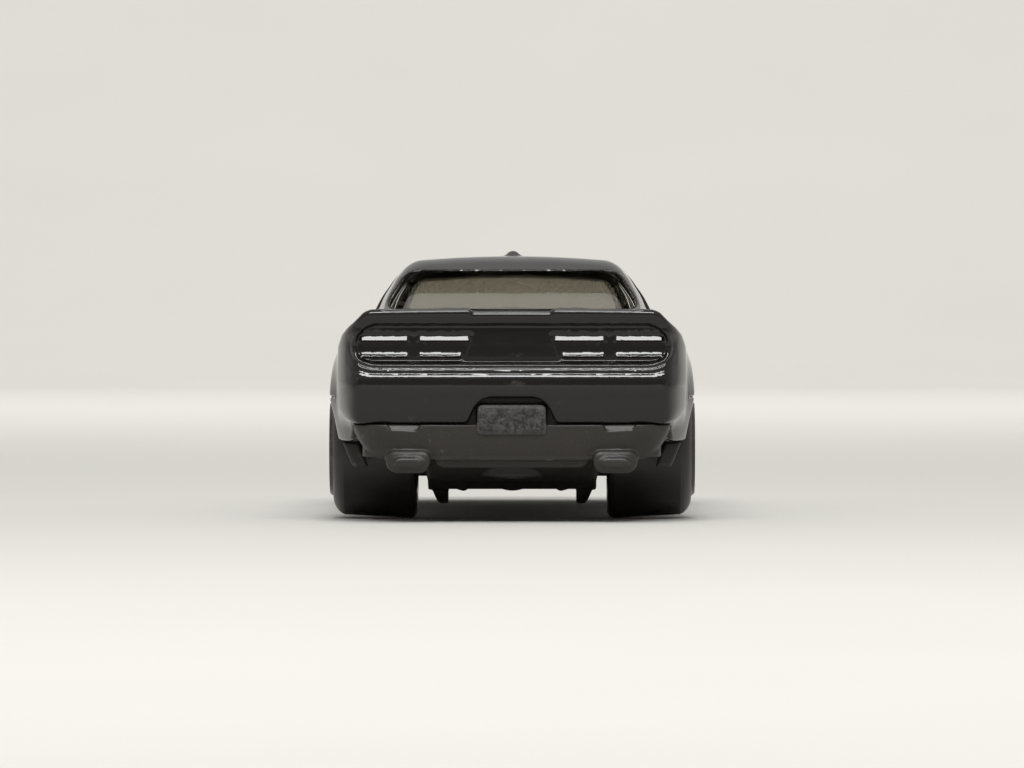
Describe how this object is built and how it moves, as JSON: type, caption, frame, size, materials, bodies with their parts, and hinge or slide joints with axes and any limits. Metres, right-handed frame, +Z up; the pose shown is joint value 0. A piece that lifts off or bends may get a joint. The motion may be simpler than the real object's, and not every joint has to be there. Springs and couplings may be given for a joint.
{
  "type": "diecast model car",
  "caption": "Small diecast wide-body two-door coupe with see-through smoked windows, a moulded chassis and free-rolling wheels",
  "frame": {"origin": "on the ground that the wheels stand on, under the centre of the car's bounding box", "axes": "+X to the car's right-hand side, +Y forward to the nose, +Z up"},
  "size_m": [0.032, 0.0774, 0.0234],
  "materials": {
    "body_paint": "gloss black enamel over cast zinc",
    "base_plastic": "satin black moulded plastic with a fine speckle",
    "smoked_glazing": "smoked clear plastic",
    "cabin_plastic": "matt black moulded plastic",
    "tyre_plastic": "satin black hard plastic",
    "rim_plastic": "gloss dark grey moulded plastic",
    "axle_steel": "bright drawn steel wire",
    "rivet_metal": "bare spun cast metal"
  },
  "bodies": {
    "car": {"body_shell": "body_paint", "chassis_base": "base_plastic", "window_glazing": "smoked_glazing", "cabin_tub": "cabin_plastic", "front_rivet": "rivet_metal", "rear_rivet": "rivet_metal"},
    "front_axle_pin": {"front_axle": "axle_steel"},
    "front_left_wheel": {"front_left_tyre": "tyre_plastic", "front_left_rim": "rim_plastic"},
    "front_right_wheel": {"front_right_tyre": "tyre_plastic", "front_right_rim": "rim_plastic"},
    "rear_axle_pin": {"rear_axle": "axle_steel"},
    "rear_left_wheel": {"rear_left_tyre": "tyre_plastic", "rear_left_rim": "rim_plastic"},
    "rear_right_wheel": {"rear_right_tyre": "tyre_plastic", "rear_right_rim": "rim_plastic"}
  },
  "joints": [
    {"name": "front_axle_spin", "type": "hinge", "parent": "car", "child": "front_axle_pin", "pos_m": [0, 0.0239, 0.0056], "axis": [1, 0, 0], "continuous": true},
    {"name": "front_left_wheel_spin", "type": "hinge", "parent": "front_axle_pin", "child": "front_left_wheel", "pos_m": [-0.012, 0.0239, 0.0056], "axis": [1, 0, 0], "continuous": true},
    {"name": "front_right_wheel_spin", "type": "hinge", "parent": "front_axle_pin", "child": "front_right_wheel", "pos_m": [0.012, 0.0239, 0.0056], "axis": [1, 0, 0], "continuous": true},
    {"name": "rear_axle_spin", "type": "hinge", "parent": "car", "child": "rear_axle_pin", "pos_m": [0, -0.0221, 0.0061], "axis": [1, 0, 0], "continuous": true},
    {"name": "rear_left_wheel_spin", "type": "hinge", "parent": "rear_axle_pin", "child": "rear_left_wheel", "pos_m": [-0.012, -0.0221, 0.0061], "axis": [1, 0, 0], "continuous": true},
    {"name": "rear_right_wheel_spin", "type": "hinge", "parent": "rear_axle_pin", "child": "rear_right_wheel", "pos_m": [0.012, -0.0221, 0.0061], "axis": [1, 0, 0], "continuous": true}
  ]
}
